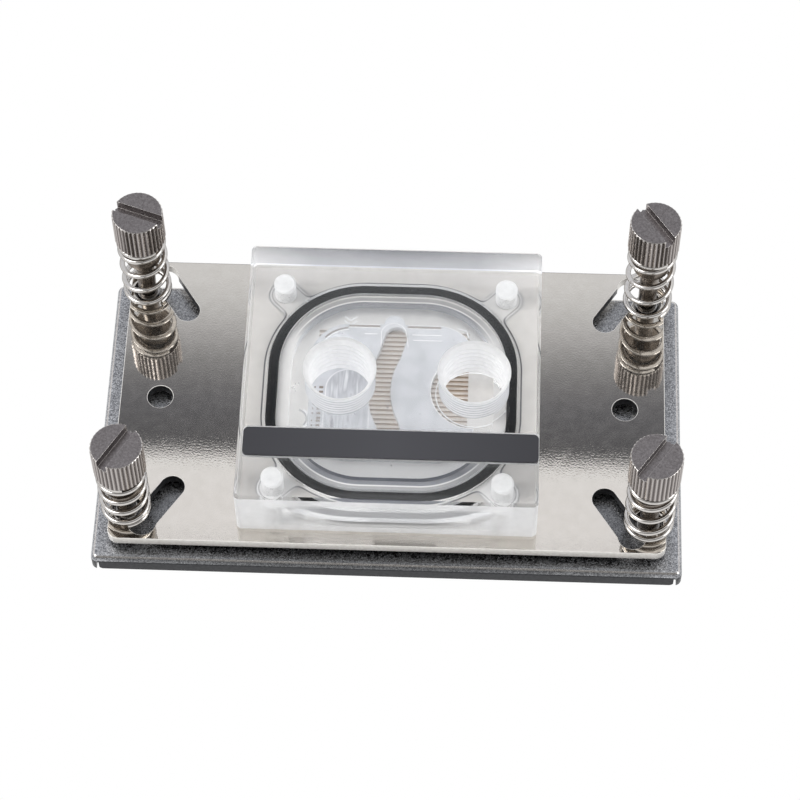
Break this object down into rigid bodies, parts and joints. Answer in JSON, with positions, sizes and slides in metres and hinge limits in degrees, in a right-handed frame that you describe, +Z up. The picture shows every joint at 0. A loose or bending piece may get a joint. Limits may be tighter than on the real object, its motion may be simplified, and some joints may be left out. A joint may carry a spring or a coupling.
{
  "type": "processor water block",
  "caption": "Square clear-topped liquid cooling block with two threaded ports, a finned cold plate, a flat bracket on a folded back plate and sprung corner thumbscrews.",
  "frame": {"origin": "centre of the cold plate's contact face, a pad that stands in the back plate's window", "axes": "+Z up through the ports, +X to the right along the bracket's length, +Y to the back, away from the trim strip"},
  "size_m": [0.1088, 0.0637, 0.0342],
  "materials": {
    "clear_top": "polished clear acrylic with frosted threads",
    "trim": "satin dark plastic",
    "seal": "matt black rubber",
    "jet_plate": "translucent plastic",
    "cold_plate": "nickel plated copper, fine machining marks",
    "bracket": "bright nickel plated steel",
    "back_plate": "mottled zinc plated steel sheet",
    "base_screw": "zinc plated steel",
    "post": "turned steel",
    "thumbscrew": "dark nickel plated, knurled",
    "spring": "bright spring wire"
  },
  "bodies": {
    "block": {"top_block": "clear_top", "trim_strip": "trim", "o_ring": "seal", "jet_plate": "jet_plate", "cold_plate": "cold_plate", "bracket": "bracket", "back_plate": "back_plate", "base_screw_bl": "base_screw", "base_screw_br": "base_screw", "base_screw_fl": "base_screw", "base_screw_fr": "base_screw", "post_bl": "post", "post_br": "post", "post_fl": "post", "post_fr": "post"},
    "screw_bl": {"thumbscrew_bl": "thumbscrew", "spring_bl": "spring"},
    "screw_br": {"thumbscrew_br": "thumbscrew", "spring_br": "spring"},
    "screw_fl": {"thumbscrew_fl": "thumbscrew", "spring_fl": "spring"},
    "screw_fr": {"thumbscrew_fr": "thumbscrew", "spring_fr": "spring"}
  },
  "joints": [
    {"name": "turn_bl", "type": "hinge", "parent": "block", "child": "screw_bl", "pos_m": [-0.048, 0.02445, 0.0038], "axis": [0, 0, 1], "continuous": true},
    {"name": "turn_br", "type": "hinge", "parent": "block", "child": "screw_br", "pos_m": [0.048, 0.02445, 0.0038], "axis": [0, 0, 1], "continuous": true},
    {"name": "turn_fl", "type": "hinge", "parent": "block", "child": "screw_fl", "pos_m": [-0.048, -0.02355, 0.0038], "axis": [0, 0, 1], "continuous": true},
    {"name": "turn_fr", "type": "hinge", "parent": "block", "child": "screw_fr", "pos_m": [0.048, -0.02355, 0.0038], "axis": [0, 0, 1], "continuous": true}
  ]
}
